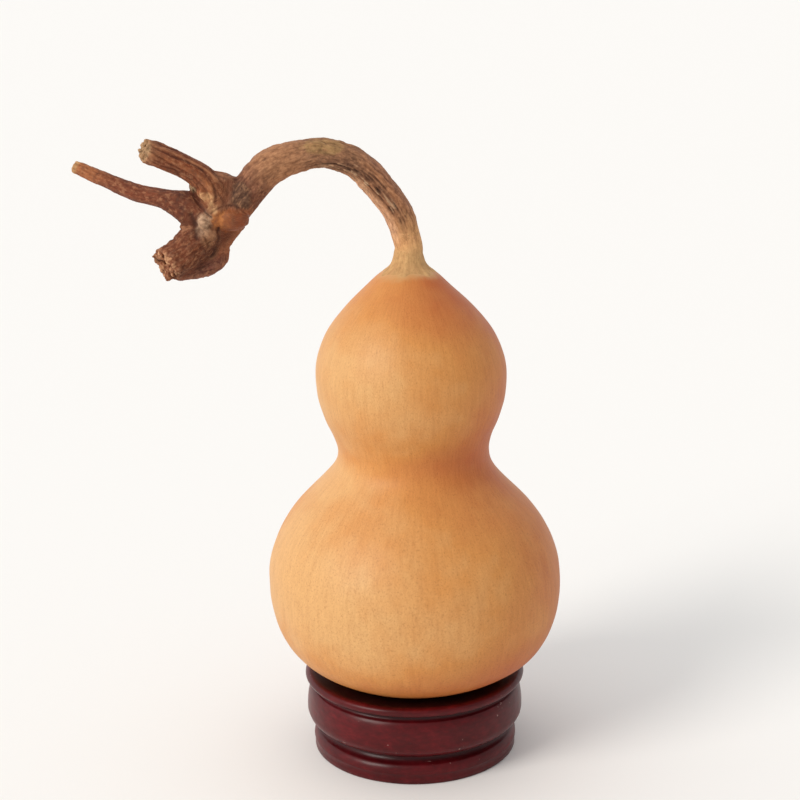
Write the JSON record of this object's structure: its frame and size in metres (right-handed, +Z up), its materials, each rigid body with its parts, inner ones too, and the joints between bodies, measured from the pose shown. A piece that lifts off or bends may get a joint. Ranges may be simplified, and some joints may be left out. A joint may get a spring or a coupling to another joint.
{
  "type": "dried bottle gourd",
  "caption": "Dried double-bulb bottle gourd with its arched stem and a knot of cut vine, sitting upright in a turned wooden stand.",
  "frame": {"origin": "centre of the stand's flat underside, on the stand's turning axis", "axes": "+Z up along the stand's axis; the stem arches towards -X; -Y faces the viewer"},
  "size_m": [0.1487, 0.0917, 0.1977],
  "materials": {
    "gourd_skin": "satin",
    "vine_bark": "matte",
    "lacquered_wood": "gloss"
  },
  "bodies": {
    "root": {"gourd_fruit": "gourd_skin", "dried_stem": "vine_bark", "turned_stand": "lacquered_wood"}
  },
  "joints": []
}
